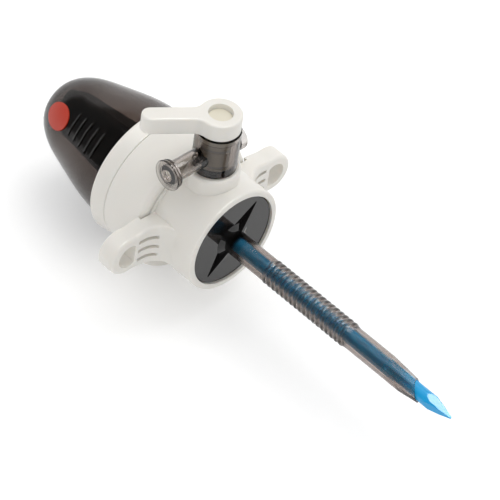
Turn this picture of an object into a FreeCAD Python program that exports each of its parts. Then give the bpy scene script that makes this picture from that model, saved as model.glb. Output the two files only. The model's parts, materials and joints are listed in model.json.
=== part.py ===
import FreeCAD, Part
import math
import os

from FreeCAD import Vector

# Laparoscopic trocar for 5 mm instruments, in millimetres.
# +X runs along the cannula to its tip, +Z points to the stopcock, the wings lie along Y.
# The origin is on the cannula's axis, in the front face of its disc.

# Clearances
run_fit = 0.05
seat_fit = 0.10
loose_fit = 0.30

# Cannula tube
tube_root_r = 4.05
tube_tip_r = 3.82
bore_r = 2.80
mouth_bore_r = 2.52
mouth_r = 2.95
tube_length = 81.8
bevel_angle = 40.0
bevel_turn = 217.7
taper_length = 8.9
taper_start = tube_length - taper_length
taper_angle = 47.0

# Grip ribs on the tube
rib_count = 18
rib_pitch = 1.98
rib_first = 18.4
rib_crest_r = 4.26
rib_valley_r = 4.0

# Cannula disc, skirt and gussets
disc_r = 16.5
disc_thick = 2.2
skirt_wall = 2.2
skirt_length = 5.5
gusset_reach = 14.6
gusset_height = 1.9
gusset_half_width = 1.05
gusset_top_half = 0.7
gusset_turn = 52.0
hub_r = 6.2
hub_height = 1.0

# Housing
rim_front = 0.7
rim_round = 0.7
neck_r = 18.7
neck_back = -18.5
flange_r = 20.2
housing_back = -27.0
cavity_r = 14.4
valve_pocket_r = 17.6
valve_pocket_depth = 3.6

# Wings
wing_front = -13.6
wing_thick = 6.5
wing_reach = 38.5
wing_end_r = 6.8
wing_waist_inset = 2.8
wing_waist_half = 6.75
wing_flare_inset = 6.3
wing_flare_half = 7.3
wing_root_half = 7.5
wing_root_inset = 3.5
wing_sweep_r = 7.0
wing_sweep_sink = 0.05
wing_edge_round = 1.2
wing_back_round = 0.35
wing_hole_inset = 0.4
wing_hole_r = 4.2
wing_hole_flat = 2.4
slot_count = 3
slot_pitch = 3.65
slot_width = 1.3
slot_depth = 2.0
slot_gap = 1.4
slot_length = 6.9

# Stopcock boss on the housing
boss_r = 8.65
boss_top = 23.2
boss_x = -12.1
boss_round = 0.8

# Seal cap, the drum behind the wings
cap_front = -18.9
cap_front_r = 23.75
cap_back = -35.2
cap_back_r = 22.45
cap_front_round = 1.6
cap_back_round = 0.5
cap_floor = 2.4
cap_mouth_r = 9.2
cap_pocket_r = 18.0
cap_step = -27.35
cap_bore_r = 20.45
cap_ring_x = -20.7

# Bayonet between the seal cap and the housing
lug_count = 3
lug_angle = 14.0
lug_x = -23.4
lug_width = 1.6
lug_depth = 1.2
twist_range = 20.0
lug_side_gap = 1.0

# Seals
guide_flange = 1.4
guide_mouth_r = 8.6
guide_throat_r = 3.4
guide_length = 4.4
guide_wall = 0.9
lip_flange = 1.4
lip_wall = 0.7
lip_length = 3.6
retainer_thick = 1.8
retainer_bore_r = 12.5
valve_flange = 1.6
valve_root_r = 12.6
valve_wall = 1.0
valve_length = 12.5
valve_lip_half_width = 6.6
clamp_bore_r = 11.0
o_ring_r = 0.9
thin_ring_r = 0.55

# Obturator shaft and tip
shaft_r = 2.45
shaft_back = -60.0
shaft_collar_r = 4.6
shaft_collar = 2.0
tenon_r = 1.5
tenon_length = 6.0
tip_reach = 14.6
tip_length = 27.4
tip_cone_length = 8.1
tip_end = tube_length + tip_reach
tip_shoulder = tip_end - tip_cone_length
shaft_front = tip_end - tip_length
tip_point_r = 0.22
tip_facets = 4
tip_facet_turn = 97.0
flute_count = 4
flute_gap = 1.5
flute_length = 10.0
flute_start = shaft_front + flute_gap
flute_end = flute_start + flute_length
flute_r = 0.8
flute_depth = 0.38

# Obturator base, dome and core
base_front_r = 22.45
base_back = -41.3
base_back_r = 23.3
base_back_round = 0.9
base_front_round = 0.45
base_wall = 1.5
base_plate = 2.0
spigot_length = 2.0
spigot_wall = 1.6
dome_base_r = 21.6
dome_end = -81.2
dome_wall = 1.3
dome_spans = [(0.0, 1.0), (0.171, 0.949), (0.375, 0.870), (0.579, 0.764), (0.783, 0.639), (0.931, 0.460)]
core_flange_r = 17.0
core_flange = 1.5
core_base_half = 9.8
core_end_half = 6.6
core_end = -76.5
core_wall = 1.8
core_corner = 2.6
core_turn = 55.0
grip_count = 5
grip_pitch = 3.35
grip_first = -47.8
grip_low_turn = 127.0
grip_turn = 26.5
grip_height = 0.35
grip_width = 0.8
marker_half_width = 4.4
marker_half_length = 5.7
marker_thick = 0.35
marker_x = -69.1
marker_turn = 146.5

# Stopcock
barrel_r = 7.3
barrel_base = 23.3
barrel_top = 38.1
barrel_wall = 1.7
barrel_floor = 2.0
port_z = 29.65
luer_r = 3.4
luer_reach = 20.7
luer_bore_r = 2.05
luer_bore_depth = 12.0
luer_port_r = 1.25
luer_flange_r = 5.15
luer_flange = 0.9
luer_ring_r = 4.85
luer_ring = 0.85
luer_ring_gap = 0.5
stub_r = 4.1
stub_reach = 10.0
stub_round = 0.5
stub_wall = 0.9
nipple_r = 3.2
nipple_bore_r = 1.7
nipple_end = 14.8

# Stopcock plug, gland and lever
plug_top_r = 5.2
plug_taper = 0.35
plug_shoulder_drop = 2.4
gland_thick = 1.6
plug_neck_r = 3.9
plug_top = 42.9
plug_port_r = 1.25
lever_gap = 0.25
lever_head_r = 6.95
lever_top = 44.7
lever_hole_r = 4.0
lever_length = 24.6
lever_half_width = 3.0
lever_turn = 234.5
lever_fillet = 4.5
lever_edge_round = 0.7


def polar(radius, degrees):
    """Point at a radius and a turn from +Y towards +Z, as y and z."""
    angle = math.radians(degrees)
    return radius * math.cos(angle), radius * math.sin(angle)


def revolve(points, turn=360.0):
    """Solid of revolution about the X axis from (x, r) points."""
    ring = [Vector(x, 0, r) for x, r in points]
    face = Part.Face(Part.makePolygon(ring + ring[:1]))
    return face.revolve(Vector(0, 0, 0), Vector(1, 0, 0), turn)


def rod(x_low, x_high, radius):
    """Cylinder along X between two stations."""
    return Part.makeCylinder(radius, x_high - x_low, Vector(x_low, 0, 0), Vector(1, 0, 0))


def ring(x_low, x_high, inner, outer):
    """Plain ring along X."""
    return rod(x_low, x_high, outer).cut(rod(x_low - 1, x_high + 1, inner))


def post(x, y, z_low, z_high, radius):
    """Cylinder along Z."""
    return Part.makeCylinder(radius, z_high - z_low, Vector(x, y, z_low))


def round_edges(solid, radius, wanted):
    """Fillet the edges that a test picks out."""
    edges = [edge for edge in solid.Edges if wanted(edge)]
    if not edges:
        return solid
    return solid.makeFillet(radius, edges)


def circle_edge_at(edge, x, radius, slack=0.02):
    """True for a circle about the X axis at a station, of a radius."""
    curve = edge.Curve
    if not isinstance(curve, Part.Circle):
        return False
    centre = curve.Center
    on_axis = abs(centre.y) < slack and abs(centre.z) < slack
    return on_axis and abs(centre.x - x) < slack and abs(curve.Radius - radius) < slack


def level_edge(edge, z, slack=0.01):
    """True for an edge that lies flat at a height."""
    box = edge.BoundBox
    return box.ZLength < slack and abs(box.ZMin - z) < slack


def turned(shape, degrees):
    """Copy turned about the X axis."""
    copy = shape.copy()
    copy.rotate(Vector(0, 0, 0), Vector(1, 0, 0), degrees)
    return copy


def fuse_all(shapes):
    """One solid out of several that overlap."""
    return shapes[0].multiFuse(shapes[1:]).removeSplitter()


def slanted_circle(x, radius, angle):
    """Edge of a slanted cut through a rod, its long side at the bevel's turn."""
    y, z = polar(1.0, bevel_turn)
    slope = math.tan(math.radians(angle))
    centre = Vector(x, 0, 0)
    long_end = centre + Vector(radius * slope, radius * y, radius * z)
    short_end = centre + Vector(0, -radius * z, radius * y)
    return Part.Wire(Part.Ellipse(long_end, short_end, centre).toShape())


def slanted_rod(x_low, x_high, radius, angle):
    """Rod along X with its far end cut on the slant."""
    reach = radius * math.tan(math.radians(angle))
    body = rod(x_low, x_high + reach + 1, radius)
    y, z = polar(1.0, bevel_turn)
    slope = math.tan(math.radians(angle))
    size = 8 * radius + 8 * reach
    normal = Vector(1.0, -slope * y, -slope * z)
    block = Part.makeBox(size, size, size, Vector(-size / 2, -size / 2, 0))
    block.Placement = FreeCAD.Placement(Vector(x_high, 0, 0), FreeCAD.Rotation(Vector(0, 0, 1), normal))
    return body.cut(block)


def tube_outline():
    """Outline of the straight part of the tube: smooth root, then waves for the ribs."""
    points = [(-disc_thick, 0), (-disc_thick, tube_root_r)]
    middle_r = (rib_crest_r + rib_valley_r) / 2
    points.append((rib_first - rib_pitch * 0.75, tube_root_r))
    for index in range(rib_count):
        crest = rib_first + index * rib_pitch
        points.append((crest - rib_pitch * 0.42, rib_valley_r))
        points.append((crest - rib_pitch * 0.20, middle_r + 0.06))
        points.append((crest, rib_crest_r))
        points.append((crest + rib_pitch * 0.20, middle_r + 0.06))
        points.append((crest + rib_pitch * 0.42, rib_valley_r))
    end = rib_first + rib_count * rib_pitch
    points += [(end, tube_tip_r), (end + 2, tube_tip_r), (end + 2, 0)]
    return points


def make_tube():
    """Tube with its ribs, stepped bore, taper and slanted mouth, without the disc."""
    root = revolve(tube_outline())
    ribs_end = rib_first + rib_count * rib_pitch
    straight = slanted_rod(ribs_end + 1, taper_start, tube_tip_r, taper_angle)
    taper = Part.makeLoft(
        [slanted_circle(taper_start, tube_tip_r, taper_angle), slanted_circle(tube_length, mouth_r, bevel_angle)],
        True, True,
    )
    solid = fuse_all([root, straight, taper])
    beyond = tube_length + 2 * mouth_r
    bore = revolve([
        (-disc_thick - 1, 0), (-disc_thick - 1, bore_r), (taper_start - 4, bore_r),
        (taper_start, mouth_bore_r), (beyond, mouth_bore_r), (beyond, 0),
    ])
    return solid.cut(bore)


def make_gusset(turn):
    """One of the four wedges that brace the tube on the disc."""
    foot = -disc_thick / 2
    low = [
        Vector(foot, bore_r + 0.4, -gusset_half_width),
        Vector(foot, gusset_reach, -0.12),
        Vector(foot, gusset_reach, 0.12),
        Vector(foot, bore_r + 0.4, gusset_half_width),
    ]
    high = [
        Vector(gusset_height, bore_r + 0.4, -gusset_top_half),
        Vector(0.15, gusset_reach - 0.3, -0.08),
        Vector(0.15, gusset_reach - 0.3, 0.08),
        Vector(gusset_height, bore_r + 0.4, gusset_top_half),
    ]
    wires = [Part.makePolygon(points + points[:1]) for points in (low, high)]
    return turned(Part.makeLoft(wires, True, True), turn)


def make_cannula():
    """Smoked tube with its front disc, hub, gussets and skirt."""
    skirt_end = -disc_thick - skirt_length
    disc = revolve([
        (0, bore_r), (0, disc_r - 0.4), (-0.4, disc_r),
        (skirt_end, disc_r), (skirt_end, disc_r - skirt_wall),
        (-disc_thick, disc_r - skirt_wall), (-disc_thick, bore_r),
    ])
    hub = revolve([
        (-disc_thick / 2, bore_r + 0.2), (-disc_thick / 2, hub_r),
        (0.05, hub_r), (hub_height, tube_root_r), (hub_height, bore_r + 0.2),
    ])
    gussets = [make_gusset(gusset_turn + 90 * index) for index in range(4)]
    body = fuse_all([disc, hub, make_tube()] + gussets)
    body = body.cut(rod(-disc_thick - 1, taper_start - 6, bore_r))
    floor_r = disc_r - 2 * thin_ring_r
    groove_x = skirt_end + skirt_length / 2
    groove = ring(groove_x - thin_ring_r, groove_x + thin_ring_r, floor_r, disc_r + 1)
    return body.cut(groove)


def wing_outline():
    """Face of one wing seen along the cannula: root, slight waist and round end."""
    end_y = wing_reach - wing_end_r
    upper = [
        Vector(0, neck_r - wing_root_inset, wing_root_half),
        Vector(0, end_y - wing_flare_inset, wing_flare_half),
        Vector(0, end_y - wing_waist_inset, wing_waist_half),
        Vector(0, end_y, wing_end_r),
    ]
    spline = Part.BSplineCurve()
    spline.interpolate(Points=upper, InitialTangent=Vector(0, 1, 0), FinalTangent=Vector(0, 1, 0))
    bend = polar(wing_end_r, 45)
    middle = Vector(0, end_y + bend[0], bend[1])
    end_arc = Part.Arc(upper[3], middle, Vector(0, wing_reach, 0))
    edges = [spline.toShape(), end_arc.toShape()]
    mirror = [edge.mirror(Vector(0, 0, 0), Vector(0, 0, 1)) for edge in edges]
    close = Part.makeLine(upper[0], Vector(0, upper[0].y, -upper[0].z))
    return Part.Face(Part.Wire(Part.__sortEdges__(edges + mirror + [close])))


def wing_sweep(shift=0.0):
    """Space behind the wing's front, which sweeps forward into the neck all round it."""
    front = wing_front - shift
    back = wing_front - wing_thick - 1
    low = neck_r - wing_sweep_sink
    far = wing_reach + wing_end_r
    bend = wing_sweep_r * math.sin(math.radians(45))
    start = Vector(front, 0, low + wing_sweep_r)
    middle = Vector(front + wing_sweep_r - bend, 0, low + wing_sweep_r - bend)
    finish = Vector(front + wing_sweep_r, 0, low)
    corners = [
        finish, Vector(finish.x, 0, 0), Vector(back, 0, 0), Vector(back, 0, far),
        Vector(front, 0, far), start,
    ]
    edges = [Part.makeLine(a, b) for a, b in zip(corners[:-1], corners[1:])]
    edges.append(Part.Arc(start, middle, finish).toShape())
    face = Part.Face(Part.Wire(Part.__sortEdges__(edges)))
    return face.revolve(Vector(0, 0, 0), Vector(1, 0, 0), 360)


def make_wing():
    """Wing on the +Y side with its rounded edges, D-shaped hole and grooves."""
    outline = wing_outline()
    outline.translate(Vector(wing_front - wing_thick, 0, 0))
    slab = outline.extrude(Vector(wing_thick + wing_sweep_r, 0, 0))
    wing = slab.common(wing_sweep())

    def outside(edge):
        """Leaves out the seam of the sweep and what lies inside the neck."""
        first, last = edge.ParameterRange
        spot = edge.valueAt((first + last) / 2)
        curve = edge.Curve
        seam = isinstance(curve, Part.Circle) and math.hypot(curve.Center.y, curve.Center.z) < 0.01
        return not seam and math.hypot(spot.y, spot.z) > neck_r

    def front_edge(edge):
        return outside(edge) and edge.BoundBox.XMin > wing_front - 0.01

    def back_edge(edge):
        return outside(edge) and edge.BoundBox.XMax < wing_front - wing_thick + 0.01

    wing = round_edges(wing, wing_edge_round, front_edge)
    wing = round_edges(wing, wing_back_round, back_edge)
    low_x = wing_front - wing_thick - 5
    hole = rod(low_x, wing_front + 5, wing_hole_r)
    hole_y = wing_reach - wing_end_r - wing_hole_inset
    hole.translate(Vector(0, hole_y, 0))
    flat_y = hole_y - wing_hole_flat
    wide = 4 * wing_hole_r
    flat = Part.makeBox(wing_thick + wide, wide, wide, Vector(low_x, flat_y - wide, -wide / 2))
    wing = wing.cut(hole.cut(flat))
    behind = wing_sweep(slot_depth)
    for index in range(slot_count):
        z = (index - (slot_count - 1) / 2) * slot_pitch
        corner = Vector(wing_front - 2 * slot_depth, flat_y - slot_gap - slot_length, z - slot_width / 2)
        groove = Part.makeBox(wing_thick + wing_sweep_r + 2 * slot_depth, slot_length, slot_width, corner)
        wing = wing.cut(groove.cut(behind))
    return wing.cut(rod(housing_back, neck_back, cap_front_r + loose_fit))


def make_bayonet_slots():
    """Cutters for the L-shaped bayonet tracks in the housing's spigot."""
    floor_r = flange_r - lug_depth - 0.2
    low = lug_x - lug_width / 2 - 0.15
    high = lug_x + lug_width / 2 + 0.15
    track_turn = lug_angle + twist_range + 2 * lug_side_gap
    entry_turn = lug_angle + 2 * lug_side_gap
    cutters = []
    for index in range(lug_count):
        start = index * 360.0 / lug_count - lug_angle / 2 - lug_side_gap
        track = [(low, floor_r), (low, flange_r + 1), (high, flange_r + 1), (high, floor_r)]
        cutters.append(turned(revolve(track, track_turn), start))
        entry = [
            (housing_back - 1, floor_r), (housing_back - 1, flange_r + 1),
            (high, flange_r + 1), (high, floor_r),
        ]
        cutters.append(turned(revolve(entry, entry_turn), start + twist_range))
    return cutters


def make_housing():
    """White housing: rim, neck, spigot, wings and the stopcock's boss."""
    ledge = -disc_thick - skirt_length - seat_fit
    outer = revolve([
        (rim_front, 0), (rim_front, neck_r), (neck_back, neck_r),
        (neck_back, flange_r), (housing_back, flange_r), (housing_back, 0),
    ])
    outer = round_edges(outer, rim_round, lambda edge: circle_edge_at(edge, rim_front, neck_r))
    boss = post(boss_x, 0, 0, boss_top, boss_r)
    boss = round_edges(boss, boss_round, lambda edge: level_edge(edge, boss_top))
    boss = boss.cut(rod(housing_back, neck_back, cap_front_r + loose_fit))
    wing = make_wing()
    other = wing.mirror(Vector(0, 0, 0), Vector(0, 1, 0))
    body = fuse_all([outer, boss, wing, other])
    inside = fuse_all([
        rod(ledge, rim_front + 1, disc_r + seat_fit),
        rod(housing_back - 1, ledge + 1, cavity_r),
        rod(housing_back - 1, housing_back + valve_pocket_depth, valve_pocket_r),
    ])
    body = body.cut(inside)
    pocket_top = boss_top - 3.0
    body = body.cut(post(boss_x, 0, 5, boss_top + 1, nipple_r + seat_fit))
    pocket = post(boss_x, 0, pocket_top, boss_top + 1, nipple_r + 2 * o_ring_r)
    body = body.cut(pocket)
    groove = ring(cap_ring_x - o_ring_r, cap_ring_x + o_ring_r, cap_bore_r - run_fit - 2 * o_ring_r, cap_bore_r)
    for cutter in [groove] + make_bayonet_slots():
        body = body.cut(cutter)
    return body


def torus_x(x, radius, section):
    """O-ring about the X axis."""
    return Part.makeTorus(radius, section, Vector(x, 0, 0), Vector(1, 0, 0))


def make_cannula_o_ring():
    """O-ring in the groove round the cannula's skirt."""
    x = -disc_thick - skirt_length / 2
    return torus_x(x, disc_r - thin_ring_r + seat_fit / 2, thin_ring_r)


def make_cap_o_ring():
    """O-ring in the spigot's groove, just clear of the seal cap."""
    return torus_x(cap_ring_x, cap_bore_r - run_fit - o_ring_r, o_ring_r)


def make_seal_cap():
    """Drum with its mouth, seal pocket and bayonet lugs."""
    bore = cap_bore_r
    body = revolve([
        (cap_front, bore), (cap_front, cap_front_r), (cap_back, cap_back_r), (cap_back, cap_mouth_r),
        (cap_back + cap_floor, cap_mouth_r), (cap_back + cap_floor, cap_pocket_r),
        (cap_step, cap_pocket_r), (cap_step, bore),
    ])
    body = round_edges(body, cap_front_round, lambda edge: circle_edge_at(edge, cap_front, cap_front_r))
    body = round_edges(body, cap_back_round, lambda edge: circle_edge_at(edge, cap_back, cap_back_r))
    inner = flange_r - lug_depth
    lug = [
        (lug_x - lug_width / 2, inner), (lug_x - lug_width / 2, bore + 0.5),
        (lug_x + lug_width / 2, bore + 0.5), (lug_x + lug_width / 2, inner),
    ]
    lugs = [
        turned(revolve(lug, lug_angle), index * 360.0 / lug_count - lug_angle / 2)
        for index in range(lug_count)
    ]
    return fuse_all([body] + lugs)


def seal_stations():
    """Stations of the stack inside the seal cap, from the back forwards."""
    guide_back = cap_back + cap_floor
    lip_back = guide_back + guide_flange
    retainer_back = lip_back + lip_flange
    return guide_back, lip_back, retainer_back


def make_seal_guide():
    """Funnel that leads an instrument to the lip seal."""
    back, front, _ = seal_stations()
    tip = back + guide_length
    return revolve([
        (back, guide_mouth_r), (back, cap_pocket_r - seat_fit), (front, cap_pocket_r - seat_fit),
        (front, guide_mouth_r + guide_wall + 0.4), (tip, guide_throat_r + guide_wall),
        (tip, guide_throat_r),
    ])


def make_instrument_seal():
    """Silicone lip seal: flange, cone and a lip that just clears the shaft."""
    guide_back, back, front = seal_stations()
    cone_r = guide_mouth_r + guide_wall + 0.9
    tip = guide_back + guide_length + 1.3
    return revolve([
        (back, cone_r), (back, cap_pocket_r - seat_fit), (front, cap_pocket_r - seat_fit),
        (front, cone_r + lip_wall * 0.6), (tip, shaft_r + run_fit + lip_wall),
        (tip + 0.4, shaft_r + run_fit + lip_wall * 0.6), (tip + 0.4, shaft_r + run_fit),
        (tip - lip_wall, shaft_r + run_fit), (tip - 1.0, guide_throat_r + guide_wall),
    ])


def make_seal_retainer():
    """Ring that holds the lip seal's flange in the cap."""
    back = seal_stations()[2]
    return ring(back, back + retainer_thick, retainer_bore_r, cap_pocket_r - seat_fit)


def ellipse_wire(x, half_y, half_z):
    """Oval section of the duckbill at a station, wider along Y."""
    centre = Vector(x, 0, 0)
    side = Vector(x, max(half_y, half_z + 0.001), 0)
    top = Vector(x, 0, half_z)
    return Part.Wire(Part.Ellipse(side, top, centre).toShape())


def make_duckbill():
    """Duckbill valve: clamped flange and two lips that the shaft holds open."""
    seat = housing_back + valve_pocket_depth
    flange_back = seat - valve_flange
    tip = seat + valve_length
    lip_half_height = shaft_r + loose_fit
    stations = [(seat - valve_flange, 1.0), (seat + valve_length * 0.45, 0.45), (tip, 0.0)]
    outer = []
    inner = []
    for x, share in stations:
        width = valve_lip_half_width + (valve_root_r - valve_lip_half_width) * share
        height = lip_half_height + valve_wall + (valve_root_r - lip_half_height - valve_wall) * share
        outer.append(ellipse_wire(x, width, height))
        inner.append(ellipse_wire(x, width - valve_wall, height - valve_wall))
    shell = Part.makeLoft(outer, True, False)
    hollow = Part.makeLoft(inner, True, False)
    flange = rod(flange_back, seat, valve_pocket_r - seat_fit)
    return fuse_all([shell, flange]).cut(hollow)


def make_duckbill_clamp():
    """Ring behind the duckbill's flange, flush with the housing's end."""
    front = housing_back + valve_pocket_depth - valve_flange
    return ring(housing_back, front, clamp_bore_r, valve_pocket_r - seat_fit)


def dome_profile(offset, x_base):
    """Edge of the dome's outline, moved inwards by an offset."""
    length = base_back - dome_end
    points = []
    for along, share in dome_spans:
        points.append(Vector(base_back - along * length + offset * along ** 3, 0, dome_base_r * share - offset))
    points.append(Vector(dome_end + offset, 0, 0))
    points[0] = Vector(x_base, 0, dome_base_r - offset)
    curve = Part.BSplineCurve()
    curve.interpolate(Points=points, InitialTangent=Vector(-1, 0, -0.12), FinalTangent=Vector(0, 0, -1))
    return curve.toShape(), points[0], points[-1]


def dome_body(offset, x_base):
    """Solid inside the dome's outline."""
    edge, start, finish = dome_profile(offset, x_base)
    corner = Vector(x_base, 0, 0)
    wire = Part.Wire([edge, Part.makeLine(finish, corner), Part.makeLine(corner, start)])
    return Part.Face(wire).revolve(Vector(0, 0, 0), Vector(1, 0, 0), 360)


def dome_radius(x):
    """Radius of the dome's outline at a station."""
    along = (base_back - x) / (base_back - dome_end)
    for (a, low), (b, high) in zip(dome_spans, dome_spans[1:] + [(1.0, 0.0)]):
        if along <= b:
            return dome_base_r * (low + (high - low) * (along - a) / (b - a))
    return 0.0


def base_plate_back():
    """Station of the base plate's back face, which carries the core and the dome."""
    return cap_back - run_fit - base_plate


def make_dome():
    """Smoked thumb dome, a thin shell on the base plate, with raised grip ribs on its upper side."""
    foot = base_plate_back()
    raised = dome_body(-grip_height, foot)
    ribs = []
    for index in range(grip_count):
        x = grip_first - index * grip_pitch
        low, high = x - grip_width / 2, x + grip_width / 2
        band = [(low, core_base_half), (low, dome_base_r + 2), (high, dome_base_r + 2), (high, core_base_half)]
        ribs.append(turned(revolve(band, grip_turn), grip_low_turn - 90).common(raised))
    return fuse_all([dome_body(0.0, foot)] + ribs).cut(dome_body(dome_wall, foot))


def make_base():
    """White collar with its plate, spigot and shaft hole."""
    front = cap_back - run_fit
    back_face = base_plate_back()
    inner = dome_base_r + seat_fit
    body = revolve([
        (front, 0), (front, base_front_r), (base_back, base_back_r), (base_back, inner),
        (back_face, inner), (back_face, 0),
    ])
    body = round_edges(body, base_back_round, lambda edge: circle_edge_at(edge, base_back, base_back_r))
    body = round_edges(body, base_front_round, lambda edge: circle_edge_at(edge, front, base_front_r))
    spigot = ring(front - 0.5, front + spigot_length, cap_mouth_r - seat_fit - spigot_wall, cap_mouth_r - loose_fit)
    hole = rod(base_back - 1, front + spigot_length + 1, shaft_r + run_fit)
    return fuse_all([body, spigot]).cut(hole)


def square_wire(x, half, corner):
    """Rounded square section of the core."""
    points = []
    for sign_y, sign_z, first in ((1, 1, 0), (-1, 1, 90), (-1, -1, 180), (1, -1, 270)):
        centre = (sign_y * (half - corner), sign_z * (half - corner))
        for turn in (first, first + 45, first + 90):
            y, z = polar(corner, turn)
            points.append(Vector(x, centre[0] + y, centre[1] + z))
    edges = []
    for index in range(4):
        a, b, c = points[3 * index:3 * index + 3]
        edges.append(Part.Arc(a, b, c).toShape())
        edges.append(Part.makeLine(c, points[(3 * index + 3) % 12]))
    return Part.Wire(edges)


def core_half_at(x):
    """Half width of the core at a station."""
    start = base_plate_back() - core_flange
    share = (x - start) / (core_end - start)
    return core_base_half + (core_end_half - core_base_half) * share


def make_core():
    """Four-sided carrier: flange, tapered hollow body and shaft socket."""
    plate = base_plate_back()
    start = plate - core_flange
    flange = rod(start, plate, core_flange_r)
    outer = Part.makeLoft(
        [
            square_wire(start + 0.3, core_half_at(start + 0.3), core_corner),
            square_wire(core_end, core_end_half, core_corner),
        ],
        True, True,
    )
    hollow_end = core_end + core_wall + 1
    inner_half = core_half_at(hollow_end) - core_wall
    hollow = Part.makeLoft(
        [
            square_wire(plate + 1, core_base_half - core_wall, core_corner * 0.6),
            square_wire(hollow_end, inner_half, core_corner * 0.4),
        ],
        True, True,
    )
    socket_r = shaft_r + run_fit + 1.6
    socket = rod(shaft_back - 2, plate, socket_r)
    web = Part.makeBox(plate - shaft_back + 2, 1.4, 2 * core_half_at(shaft_back) - 2)
    web.translate(Vector(shaft_back - 2, -0.7, -core_half_at(shaft_back) + 1))
    shell = fuse_all([flange, outer]).cut(hollow)
    body = fuse_all([shell, socket, web])
    seat = rod(plate - shaft_collar - seat_fit, plate + 1, shaft_collar_r + seat_fit)
    body = body.cut(seat).cut(rod(shaft_back - 0.1, plate + 1, shaft_r + run_fit))
    return turned(body, core_turn)


def make_marker():
    """Plain oval patch that lies on the dome's upper side and follows its curve."""
    foot = base_plate_back()
    skin = dome_body(-marker_thick - 0.02, foot).cut(dome_body(-0.02, foot))
    rise = dome_radius(marker_x + marker_half_length) - dome_radius(marker_x - marker_half_length)
    lean = math.atan(rise / (2 * marker_half_length))
    depth = dome_base_r / 4
    outline = Part.Ellipse(Vector(0, 0, 0), marker_half_length, marker_half_width).toShape()
    column = Part.Face(Part.Wire(outline)).extrude(Vector(0, 0, 2 * depth))
    column.rotate(Vector(0, 0, 0), Vector(0, 1, 0), -math.degrees(lean))
    column.translate(Vector(marker_x + depth * math.sin(lean), 0, dome_radius(marker_x) - depth * math.cos(lean)))
    return turned(column, marker_turn - 90).common(skin)


def make_shaft():
    """Blue shaft with the collar that the core traps on the base plate."""
    plate = base_plate_back()
    return revolve([
        (shaft_back, 0), (shaft_back, shaft_r), (plate - shaft_collar, shaft_r),
        (plate - shaft_collar, shaft_collar_r), (plate, shaft_collar_r), (plate, shaft_r),
        (shaft_front, shaft_r), (shaft_front, tenon_r), (shaft_front + tenon_length, tenon_r),
        (shaft_front + tenon_length, 0),
    ])


def make_tip():
    """Dilating tip: fluted root, straight part and a faceted point."""
    body = revolve([
        (shaft_front + 0.02, 0), (shaft_front + 0.02, shaft_r), (tip_shoulder, shaft_r),
        (tip_shoulder + (tip_end - tip_shoulder) * 0.5, shaft_r * 0.62),
        (tip_end - tip_point_r, tip_point_r * 1.6), (tip_end, 0),
    ])
    start = tip_shoulder - 2.0
    reach = tip_end - start
    for index in range(tip_facets):
        angle = tip_facet_turn + index * 360.0 / tip_facets
        slope = math.degrees(math.atan((shaft_r * 1.0 - tip_point_r) / reach))
        block = Part.makeBox(reach + 6, 8, 6, Vector(0, -4, 0))
        block.rotate(Vector(0, 0, 0), Vector(0, 1, 0), slope)
        block.translate(Vector(start, 0, shaft_r))
        body = body.cut(turned(block, angle))
    for index in range(flute_count):
        angle = tip_facet_turn + 45 + index * 360.0 / flute_count
        cutter = rod(flute_start, flute_end, flute_r)
        ends = [
            Part.makeSphere(flute_r, Vector(flute_start, 0, 0)),
            Part.makeSphere(flute_r, Vector(flute_end, 0, 0)),
        ]
        cutter = fuse_all([cutter] + ends)
        cutter.translate(Vector(0, 0, shaft_r + flute_r - flute_depth))
        body = body.cut(turned(cutter, angle))
    socket = rod(shaft_front - 1, shaft_front + tenon_length + 0.1, tenon_r + 0.02)
    return body.cut(socket)


def y_rod(y_low, y_high, radius):
    """Cylinder along Y on the stopcock's port axis."""
    return Part.makeCylinder(radius, y_high - y_low, Vector(boss_x, y_low, port_z), Vector(0, 1, 0))


def plug_radius(z):
    """Radius of the plug's taper at a height."""
    shoulder = barrel_top - plug_shoulder_drop
    foot = barrel_base + barrel_floor
    return plug_top_r - plug_taper * (shoulder - z) / (shoulder - foot)


def make_stopcock_body():
    """Smoked barrel with luer inlet, cored stub and nipple."""
    barrel = post(boss_x, 0, barrel_base, barrel_top, barrel_r)
    barrel = round_edges(barrel, 0.4, lambda edge: level_edge(edge, barrel_base))
    luer = y_rod(-luer_reach, 0, luer_r)
    flange = y_rod(-luer_reach, -luer_reach + luer_flange, luer_flange_r)
    flange = round_edges(flange, 0.35, lambda edge: isinstance(edge.Curve, Part.Circle))
    ring_y = -luer_reach + luer_flange + luer_ring_gap
    thread = y_rod(ring_y, ring_y + luer_ring, luer_ring_r)
    thread = round_edges(thread, 0.3, lambda edge: isinstance(edge.Curve, Part.Circle))
    stub = y_rod(0, stub_reach, stub_r)
    stub = round_edges(
        stub, stub_round, lambda edge: abs(edge.BoundBox.YMin - stub_reach) < 0.01 and edge.BoundBox.YLength < 0.01
    )
    nipple = post(boss_x, 0, nipple_end, barrel_base + 0.5, nipple_r)
    body = fuse_all([barrel, luer, flange, thread, stub, nipple])
    foot = barrel_base + barrel_floor
    shoulder = barrel_top - plug_shoulder_drop
    bore_low = plug_radius(foot) + run_fit
    bore_high = plug_radius(shoulder) + run_fit
    cone = Part.makeCone(bore_low, bore_high, shoulder - foot, Vector(boss_x, 0, foot))
    gland_seat = post(boss_x, 0, shoulder, barrel_top + 1, plug_top_r + 0.5 + seat_fit)
    port = y_rod(-luer_reach - 1, 0, luer_port_r)
    mouth = y_rod(-luer_reach - 1, -luer_reach + luer_bore_depth, luer_bore_r)
    down = post(boss_x, 0, nipple_end - 1, foot + 1, nipple_bore_r)
    core = y_rod(barrel_r + loose_fit, stub_reach + 1, stub_r - stub_wall)
    for cutter in (cone, gland_seat, port, mouth, down, core):
        body = body.cut(cutter)
    return body


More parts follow.
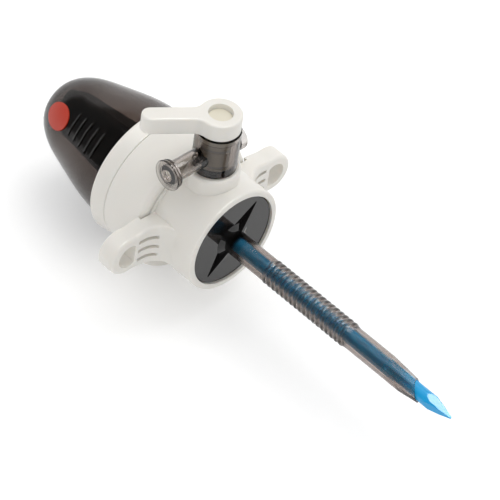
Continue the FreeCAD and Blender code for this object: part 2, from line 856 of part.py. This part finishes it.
def make_plug():
    """Ivory plug: taper with its bent port, gland neck and the head inside the lever's ring."""
    foot = barrel_base + barrel_floor + 0.05
    shoulder = barrel_top - plug_shoulder_drop
    taper = Part.makeCone(plug_radius(foot), plug_top_r, shoulder - foot, Vector(boss_x, 0, foot))
    neck = post(boss_x, 0, shoulder - 0.5, plug_top, plug_neck_r)
    neck = round_edges(neck, 0.3, lambda edge: level_edge(edge, plug_top))
    body = fuse_all([taper, neck])
    port = Part.makeCylinder(plug_port_r, 20, Vector(boss_x, 0, port_z), Vector(0, -1, 0))
    port.rotate(Vector(boss_x, 0, 0), Vector(0, 0, 1), lever_turn - 270)
    down = post(boss_x, 0, foot - 1, port_z + plug_port_r, nipple_bore_r)
    body = body.cut(port).cut(down)
    for z in o_ring_heights():
        outer = plug_radius(z) + 0.5
        groove = post(boss_x, 0, z - 0.55, z + 0.55, outer).cut(post(boss_x, 0, z - 1, z + 1, outer - 1.3))
        body = body.cut(groove)
    return body


def o_ring_heights():
    """Heights of the plug's two O-rings, one each side of the port."""
    return (port_z - 3.0, port_z + 3.6)


def make_plug_o_rings():
    """Two O-rings in the plug's grooves."""
    rings = []
    for z in o_ring_heights():
        rings.append(Part.makeTorus(plug_radius(z) - 0.4, 0.38, Vector(boss_x, 0, z)))
    return Part.makeCompound(rings)


def make_plug_gland():
    """Ring pressed into the barrel over the plug's shoulder."""
    low = barrel_top - plug_shoulder_drop + run_fit
    outer = post(boss_x, 0, low, low + gland_thick, plug_top_r + 0.5)
    return outer.cut(post(boss_x, 0, low - 1, barrel_top + 1, plug_neck_r + run_fit))


def make_lever():
    """White lever: ring head with a blended flat arm."""
    low = barrel_top + lever_gap
    tall = lever_top - low
    head = post(boss_x, 0, low, lever_top, lever_head_r)
    reach = lever_length - lever_half_width
    arm = Part.makeBox(reach, 2 * lever_half_width, tall, Vector(boss_x, -lever_half_width, low))
    end = post(boss_x + reach, 0, low, lever_top, lever_half_width)
    body = fuse_all([head, arm, end])

    def concave(edge):
        box = edge.BoundBox
        upright = box.ZLength > tall - 0.01 and box.XLength < 0.01 and box.YLength < 0.01
        return upright and box.XMin < boss_x + lever_head_r

    body = round_edges(body, lever_fillet, concave)

    body = round_edges(
        body, lever_edge_round, lambda edge: level_edge(edge, low) or level_edge(edge, lever_top)
    )
    body.rotate(Vector(boss_x, 0, 0), Vector(0, 0, 1), lever_turn)
    hole = post(boss_x, 0, low - 1, lever_top + 1, plug_neck_r + 0.02)
    recess = post(boss_x, 0, plug_top, lever_top + 1, lever_hole_r)
    body = body.cut(hole).cut(recess)
    return body


def make_nipple_o_ring():
    """O-ring round the nipple in the boss's pocket."""
    return Part.makeTorus(nipple_r + o_ring_r, o_ring_r - 0.05, Vector(boss_x, 0, boss_top - 3.0 + o_ring_r))


def build():
    """Write one STEP file per node."""
    makers = {
        "obturator_dome": make_dome,
        "obturator_core": make_core,
        "size_marker": make_marker,
        "obturator_base": make_base,
        "obturator_shaft": make_shaft,
        "obturator_tip": make_tip,
        "seal_cap": make_seal_cap,
        "seal_guide": make_seal_guide,
        "instrument_seal": make_instrument_seal,
        "seal_retainer": make_seal_retainer,
        "cannula_housing": make_housing,
        "cannula": make_cannula,
        "cannula_o_ring": make_cannula_o_ring,
        "duckbill_valve": make_duckbill,
        "duckbill_clamp": make_duckbill_clamp,
        "cap_o_ring": make_cap_o_ring,
        "stopcock_body": make_stopcock_body,
        "stopcock_plug": make_plug,
        "stopcock_lever": make_lever,
        "plug_o_rings": make_plug_o_rings,
        "plug_gland": make_plug_gland,
        "nipple_o_ring": make_nipple_o_ring,
    }
    os.makedirs("parts", exist_ok=True)
    for node, make in makers.items():
        shape = make()
        shape.exportStep("parts/" + node + ".step")
        box = shape.BoundBox
        print(
            node, "solids", len(shape.Solids), "valid", shape.isValid(), "volume", round(shape.Volume, 1),
            "x", round(box.XMin, 2), round(box.XMax, 2), "y", round(box.YMin, 2), round(box.YMax, 2),
            "z", round(box.ZMin, 2), round(box.ZMax, 2),
        )


build()
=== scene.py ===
import json
import math

import bpy
from mathutils import Matrix, Vector

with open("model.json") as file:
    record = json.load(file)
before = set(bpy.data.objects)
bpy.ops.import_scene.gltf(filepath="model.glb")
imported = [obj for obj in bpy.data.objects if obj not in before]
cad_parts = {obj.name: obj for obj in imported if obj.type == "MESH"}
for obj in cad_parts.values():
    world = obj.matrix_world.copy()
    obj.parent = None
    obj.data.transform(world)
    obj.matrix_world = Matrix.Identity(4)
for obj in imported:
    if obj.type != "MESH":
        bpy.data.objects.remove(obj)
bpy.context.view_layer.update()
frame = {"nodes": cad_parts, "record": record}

scene = bpy.context.scene
scene.view_settings.view_transform = "Standard"


# Camera, fitted to the photograph's outlines; places are in metres

CAMERA_PLACE = (0.516304, -0.602043, 0.750871)
CAMERA_RIGHT = (0.6850341, 0.7196279, 0.1134194)
CAMERA_UP = (-0.5586991, 0.4190370, 0.7157257)
CAMERA_BACK = (0.4675292, -0.5536639, 0.6891101)
CAMERA_LENS = 251.26
CAMERA_SENSOR = 36.0
CAMERA_CLIP = (0.01, 20.0)


def make_camera():
    data = bpy.data.cameras.new("camera")
    data.lens = CAMERA_LENS
    data.sensor_width = CAMERA_SENSOR
    data.clip_start, data.clip_end = CAMERA_CLIP
    obj = bpy.data.objects.new("camera", data)
    scene.collection.objects.link(obj)
    turn = Matrix((CAMERA_RIGHT, CAMERA_UP, CAMERA_BACK)).transposed().to_4x4()
    obj.matrix_world = Matrix.Translation(CAMERA_PLACE) @ turn
    scene.camera = obj


# Node helpers

WHITE = (1.0, 1.0, 1.0)


def opaque(color):
    """A colour with the fourth value that a node's socket asks for."""
    return tuple(color) + (1.0,)


class Graph:
    """Short hand for building the node tree of a material or a world."""

    def __init__(self, owner):
        owner.use_nodes = True
        self.nodes = owner.node_tree.nodes
        self.links = owner.node_tree.links

    def add(self, kind, **settings):
        node = self.nodes.new(kind)
        for key, value in settings.items():
            setattr(node, key, value)
        return node

    def link(self, source, target):
        self.links.new(source, target)

    def feed(self, socket, value):
        """A number stays on the socket, an output is linked to it."""
        if isinstance(value, (int, float)):
            socket.default_value = value
        else:
            self.link(value, socket)

    def calc(self, operation, *values):
        node = self.add("ShaderNodeMath", operation=operation)
        for socket, value in zip(node.inputs, values):
            self.feed(socket, value)
        return node.outputs[0]

    def product(self, first, second):
        return self.calc("MULTIPLY", first, second)

    def spread(self, value, low, high):
        """A value from 0 to 1, spread from low to high."""
        node = self.add("ShaderNodeMapRange")
        self.feed(node.inputs["To Min"], low)
        self.feed(node.inputs["To Max"], high)
        self.link(value, node.inputs["Value"])
        return node.outputs["Result"]

    def step(self, value, low, high):
        """Smooth 0 to 1 as a value passes from low to high."""
        node = self.add("ShaderNodeMapRange", interpolation_type="SMOOTHSTEP")
        node.inputs["From Min"].default_value = low
        node.inputs["From Max"].default_value = high
        self.link(value, node.inputs["Value"])
        return node.outputs["Result"]

    def seen_directly(self):
        """1 for camera, glossy and transmission rays, 0 for the rest."""
        path = self.add("ShaderNodeLightPath")
        first = self.calc("MAXIMUM", path.outputs["Is Camera Ray"], path.outputs["Is Glossy Ray"])
        return self.calc("MAXIMUM", first, path.outputs["Is Transmission Ray"])


class Finish(Graph):
    """A material: its shader and the patterns that drive it."""

    SOCKETS = {
        "color": "Base Color", "rough": "Roughness", "ior": "IOR", "clear": "Transmission Weight",
        "soft": "Subsurface Weight", "soft_depth": "Subsurface Scale", "shine": "Specular Tint",
    }

    def __init__(self, name):
        self.material = bpy.data.materials.new(name)
        super().__init__(self.material)
        self.shader = self.nodes["Principled BSDF"]
        self.output = self.nodes["Material Output"]

    def socket(self, name):
        return self.shader.inputs[self.SOCKETS[name]]

    def set(self, **values):
        for name, value in values.items():
            self.socket(name).default_value = opaque(value) if isinstance(value, tuple) else value

    def drive(self, name, value):
        self.link(value, self.socket(name))

    def coords(self):
        return self.add("ShaderNodeTexCoord").outputs["Object"]

    def place(self):
        """The object's own X, Y and Z as outputs."""
        node = self.add("ShaderNodeSeparateXYZ")
        self.link(self.coords(), node.inputs["Vector"])
        return node.outputs["X"], node.outputs["Y"], node.outputs["Z"]

    def noise(self, scale, detail=3.0, rough=0.5):
        node = self.add("ShaderNodeTexNoise")
        node.inputs["Scale"].default_value = scale
        node.inputs["Detail"].default_value = detail
        node.inputs["Roughness"].default_value = rough
        self.link(self.coords(), node.inputs["Vector"])
        return node.outputs["Fac"]

    def ramp(self, value, low, high):
        """A colour from low to high over the middle of a noise."""
        node = self.add("ShaderNodeValToRGB")
        for element, position, color in zip(node.color_ramp.elements, (0.3, 0.7), (low, high)):
            element.position = position
            element.color = opaque(color)
        self.link(value, node.inputs["Fac"])
        return node.outputs["Color"]

    def mix(self, value, low, high):
        """A colour from low to high; high may be an output."""
        node = self.add("ShaderNodeMix", data_type="RGBA")
        self.link(value, node.inputs[0])
        node.inputs[6].default_value = opaque(low)
        if isinstance(high, tuple):
            node.inputs[7].default_value = opaque(high)
        else:
            self.link(high, node.inputs[7])
        return node.outputs[2]

    def bump(self, value, strength, distance):
        node = self.add("ShaderNodeBump")
        node.inputs["Strength"].default_value = strength
        node.inputs["Distance"].default_value = distance
        self.link(value, node.inputs["Height"])
        self.link(node.outputs["Normal"], self.shader.inputs["Normal"])

    def absorb(self, tint, density):
        """Colour that deepens with the thickness of a see-through wall."""
        depth = self.add("ShaderNodeVolumeAbsorption")
        depth.inputs["Color"].default_value = opaque(tint)
        depth.inputs["Density"].default_value = density
        self.link(depth.outputs["Volume"], self.output.inputs["Volume"])


# Plastics

MOULDED_IOR = 1.5
MOULDED_CLOUD = 38.0
MOULDED_SMEAR = 120.0
MOULDED_GRAIN = 420.0
GRAIN_STRENGTH = 0.12
SOFT_SPREAD = (1.0, 0.85, 0.7)

CLEAR_IOR = 1.49
CLEAR_SMEAR = 90.0
CLEAR_RIPPLE = 60.0
BUMP_DEPTH = 0.00001

# Grip ribs on the dome: a painted highlight on their crests, which are less see-through and show the white
# base, plus extra roughness
GRIP_FIRST = -0.0478
GRIP_PITCH = 0.00335
GRIP_COUNTS = (-0.4, 4.4)
GRIP_COUNT_EDGE = 0.1
GRIP_HALF_WIDTH = (0.14, 0.06)
GRIP_TURNS = (127.0, 153.5)
GRIP_TURN_EDGE = 0.02
GRIP_HIGHLIGHT_CLEAR = 0.965
GRIP_ROUGH = 0.12

# Disc and gussets: an opaque near-black, their own dark plastic with painted shade for the dark reflections
# and shade on them
DISC_DARK_AND_SHADE = (0.004, 0.0035, 0.0035)
DISC_CLEAR = (0.0020, 0.0026)
DISC_TONE = (0.0024, 0.0048)
RIB_START = (0.0172, 0.0178)
RIB_END = (0.0544, 0.0538)
RIB_WALL = (0.0034, 0.0036)
RIB_CREST = (0.00405, 0.00422)
RIB_TINT = (0.92, 0.93, 0.95)
RIB_ROUGH = 0.2
CREST_ROUGH = 0.08


def moulded(name, color, rough, soft=0.0, soft_depth=0.002, vary=0.02, grain_depth=BUMP_DEPTH):
    """Injection-moulded plastic: faint cloudiness, a fine skin texture and varied gloss."""
    finish = Finish(name)
    low = [c * (1.0 - vary) for c in color]
    high = [min(1.0, c * (1.0 + vary)) for c in color]
    finish.drive("color", finish.ramp(finish.noise(MOULDED_CLOUD, 2.0), low, high))
    smear = finish.noise(MOULDED_SMEAR, 4.0, 0.6)
    finish.drive("rough", finish.spread(smear, rough * 0.85, rough * 1.15))
    finish.bump(finish.noise(MOULDED_GRAIN, 3.0, 0.55), GRAIN_STRENGTH, grain_depth)
    finish.set(ior=MOULDED_IOR)
    if soft:
        finish.set(soft=soft, soft_depth=soft_depth)
        finish.shader.inputs["Subsurface Radius"].default_value = SOFT_SPREAD
    return finish.material


def clear_smoke(name, tint, density, skin):
    """Polished see-through plastic with its colour in the depth of the wall."""
    finish = Finish(name)
    finish.set(color=skin, ior=CLEAR_IOR, clear=1.0)
    finish.drive("rough", finish.spread(finish.noise(CLEAR_SMEAR), 0.02, 0.04))
    finish.bump(finish.noise(CLEAR_RIPPLE, 1.0), 0.1, BUMP_DEPTH)
    finish.absorb(tint, density)
    return finish.material


def grip_ribs(finish):
    """1 on the crests of the dome's grip ribs, where the painted highlight goes, 0 elsewhere."""
    x, y, z = finish.place()
    count = finish.calc("MULTIPLY_ADD", x, -1.0 / GRIP_PITCH, GRIP_FIRST / GRIP_PITCH)
    off = finish.calc("ABSOLUTE", finish.calc("SUBTRACT", count, finish.calc("ROUND", count)))
    first, last = GRIP_COUNTS
    after = finish.step(count, first, first + GRIP_COUNT_EDGE)
    before = finish.step(count, last, last - GRIP_COUNT_EDGE)
    ribs = finish.product(finish.step(off, *GRIP_HALF_WIDTH), finish.product(after, before))
    turn = finish.calc("ARCTAN2", z, y)
    low, high = (math.radians(angle) for angle in GRIP_TURNS)
    above = finish.step(turn, low, low + GRIP_TURN_EDGE)
    below = finish.step(turn, high, high - GRIP_TURN_EDGE)
    return finish.product(ribs, finish.product(above, below))


def dome_plastic(name, tint, density):
    """The dome's deep smoke; the grip ribs on its upper side are a little rougher and carry a painted
    highlight: their crests let less light through, so the white base shows as a light stroke.
    """
    finish = Finish(name)
    finish.set(color=WHITE, ior=CLEAR_IOR, shine=(0.3, 0.3, 0.3))
    rib_highlight = grip_ribs(finish)
    # Painted highlight: the rib crests let a little less light through, so the white base colour shows as a
    # light stroke
    finish.drive("clear", finish.spread(rib_highlight, 1.0, GRIP_HIGHLIGHT_CLEAR))
    smear = finish.spread(finish.noise(CLEAR_SMEAR), 0.009, 0.016)
    finish.drive("rough", finish.calc("MULTIPLY_ADD", rib_highlight, GRIP_ROUGH, smear))
    finish.bump(finish.noise(CLEAR_RIPPLE, 1.0), 0.02, BUMP_DEPTH)
    finish.absorb(tint, density)
    return finish.material


def cannula_plastic(name, tint, density):
    """Smoked tube: disc and gussets an opaque near-black, the disc's own dark plastic deepened as painted
    shade for the dark reflections and shade on them, and a matt grip zone on the ribs.
    """
    finish = Finish(name)
    finish.set(ior=CLEAR_IOR)
    x, y, z = finish.place()
    flat = finish.add("ShaderNodeCombineXYZ")
    finish.link(y, flat.inputs["Y"])
    finish.link(z, flat.inputs["Z"])
    reach = finish.add("ShaderNodeVectorMath", operation="LENGTH")
    finish.link(flat.outputs["Vector"], reach.inputs[0])
    radius = reach.outputs["Value"]
    zone = finish.product(finish.step(x, *RIB_START), finish.step(x, *RIB_END))
    matt = finish.product(zone, finish.step(radius, *RIB_WALL))
    crest = finish.product(matt, finish.step(radius, *RIB_CREST))
    tube = finish.mix(matt, WHITE, RIB_TINT)
    # Painted shade: towards the disc the colour turns opaque near-black and the disc stops letting light
    # through
    finish.drive("color", finish.mix(finish.step(x, *DISC_TONE), DISC_DARK_AND_SHADE, tube))
    finish.drive("clear", finish.step(x, *DISC_CLEAR))
    smear = finish.spread(finish.noise(CLEAR_SMEAR), 0.03, 0.08)
    rough = finish.calc("MULTIPLY_ADD", matt, RIB_ROUGH, smear)
    finish.drive("rough", finish.calc("MULTIPLY_ADD", crest, CREST_ROUGH, rough))
    finish.bump(finish.noise(CLEAR_RIPPLE, 1.0), 0.1, BUMP_DEPTH)
    finish.absorb(tint, density)
    return finish.material


def make_materials():
    """One material per slot of the record; the cannula has its own, under its node's name."""
    return {
        "white_plastic": moulded("white_plastic", (0.80, 0.778, 0.730), 0.34, soft=0.3, soft_depth=0.0015),
        "smoked_plastic": clear_smoke("smoked_plastic", (0.42, 0.35, 0.30), 400.0, (0.86, 0.85, 0.84)),
        "cannula": cannula_plastic("smoked_tube", (0.46, 0.38, 0.33), 780.0),
        "smoked_dome": dome_plastic("smoked_dome", (0.43, 0.36, 0.32), 1560.0),
        "core_plastic": moulded("core_plastic", (0.006, 0.005, 0.005), 0.6, vary=0.1, grain_depth=0.000002),
        "marker_plastic": moulded("marker_plastic", (0.44, 0.026, 0.006), 0.4, vary=0.05),
        "shaft_plastic": moulded(
            "shaft_plastic", (0.001, 0.29, 0.60), 0.45, soft=0.1, soft_depth=0.001, vary=0.05),
        "tip_plastic": moulded(
            "tip_plastic", (0.006, 0.36, 0.72), 0.16, soft=0.25, soft_depth=0.0015, vary=0.04),
        "ivory_plastic": moulded("ivory_plastic", (0.74, 0.70, 0.58), 0.32, soft=0.12, soft_depth=0.001),
        "silicone": moulded("silicone", (0.62, 0.62, 0.60), 0.45, soft=0.3, soft_depth=0.002),
        "black_rubber": moulded("black_rubber", (0.02, 0.02, 0.02), 0.55, vary=0.15),
    }


def dress_nodes(materials):
    for entry in frame["record"]["subparts"]:
        obj = frame["nodes"][entry["node"]]
        material = materials.get(entry["node"], materials[entry["material_slot"]])
        if obj.material_slots:
            for slot in obj.material_slots:
                slot.material = material
        else:
            obj.data.materials.append(material)


# Floor, world and lamps

FLOOR = -0.0275
FLOOR_SIZE = 3.0
FLOOR_GRAIN = 900.0
FLOOR_LIFT = 0.25
WORLD_LIGHT = 0.78
ROOM_DARK = 0.3
BACKDROP = 1.2
BACKDROP_AXIS = (0.645, -0.764, 0.7)
BACKDROP_EDGE = -0.3
BOX_LEAN = -0.06
BOX_WIDTH = 0.2
BOX_SHIFT = 0.14
BOX_LENGTH = 0.42
BOX_BRIGHT = 12.0
BAND_SOFTNESS = 0.06
LAMP_WIDTH = 0.7


def make_floor():
    mesh = bpy.data.meshes.new("floor")
    corners = [(x * FLOOR_SIZE, y * FLOOR_SIZE, FLOOR) for x, y in ((-1, -1), (1, -1), (1, 1), (-1, 1))]
    mesh.from_pydata(corners, [], [(0, 1, 2, 3)])
    floor = bpy.data.objects.new("floor", mesh)
    scene.collection.objects.link(floor)
    finish = Finish("floor_paper")
    grain = finish.noise(FLOOR_GRAIN, 4.0, 0.6)
    finish.drive("color", finish.ramp(grain, (0.86, 0.86, 0.86), (0.90, 0.90, 0.90)))
    finish.set(rough=0.9)
    finish.shader.inputs["Emission Color"].default_value = opaque(WHITE)
    lift = finish.product(finish.seen_directly(), FLOOR_LIFT)
    finish.link(lift, finish.shader.inputs["Emission Strength"])
    mesh.materials.append(finish.material)


def band(graph, direction, axis, half):
    """1 where a direction lies within a half width of a plane, or from 0 down, below that level."""
    dot = graph.add("ShaderNodeVectorMath", operation="DOT_PRODUCT")
    dot.inputs[1].default_value = axis
    graph.link(direction, dot.inputs[0])
    value = dot.outputs["Value"]
    if half > 0:
        value = graph.calc("ABSOLUTE", value)
    return graph.step(value, half + BAND_SOFTNESS, half - BAND_SOFTNESS)


def make_world():
    """White behind the object, even light on surfaces, a dim room and a soft box for gloss and plastic."""
    world = bpy.data.worlds.new("studio")
    graph = Graph(world)
    background = graph.nodes["Background"]
    background.inputs["Color"].default_value = opaque(WHITE)
    direction = graph.add("ShaderNodeTexCoord").outputs["Generated"]
    path = graph.add("ShaderNodeLightPath")
    across = band(graph, direction, (1.0, 0.0, BOX_LEAN), BOX_WIDTH)
    along = band(graph, direction, (0.0, 1.0, -BOX_SHIFT), BOX_LENGTH)
    above = band(graph, direction, (0.0, 0.0, -1.0), 0.0)
    box = graph.calc("MINIMUM", graph.calc("MINIMUM", across, along), above)
    wall = band(graph, direction, BACKDROP_AXIS, BACKDROP_EDGE)
    mirrored = graph.product(wall, path.outputs["Is Glossy Ray"])
    shown = graph.spread(box, graph.spread(mirrored, ROOM_DARK, BACKDROP), BOX_BRIGHT)
    level = graph.spread(graph.seen_directly(), WORLD_LIGHT, shown)
    strength = graph.spread(path.outputs["Is Camera Ray"], level, 1.0)
    graph.link(strength, background.inputs["Strength"])
    scene.world = world


def make_lamp(name, place, power):
    """A soft lamp that points at the middle of the part."""
    data = bpy.data.lights.new(name, "AREA")
    data.size = LAMP_WIDTH
    data.energy = power
    obj = bpy.data.objects.new(name, data)
    scene.collection.objects.link(obj)
    obj.location = place
    obj.rotation_euler = (-Vector(place)).to_track_quat("-Z", "Y").to_euler()


make_camera()
dress_nodes(make_materials())
make_floor()
make_world()
make_lamp("key", (-0.05, 0.3, 1.0), 2.8)
make_lamp("side", (-0.35, -0.25, 1.0), 0.7)
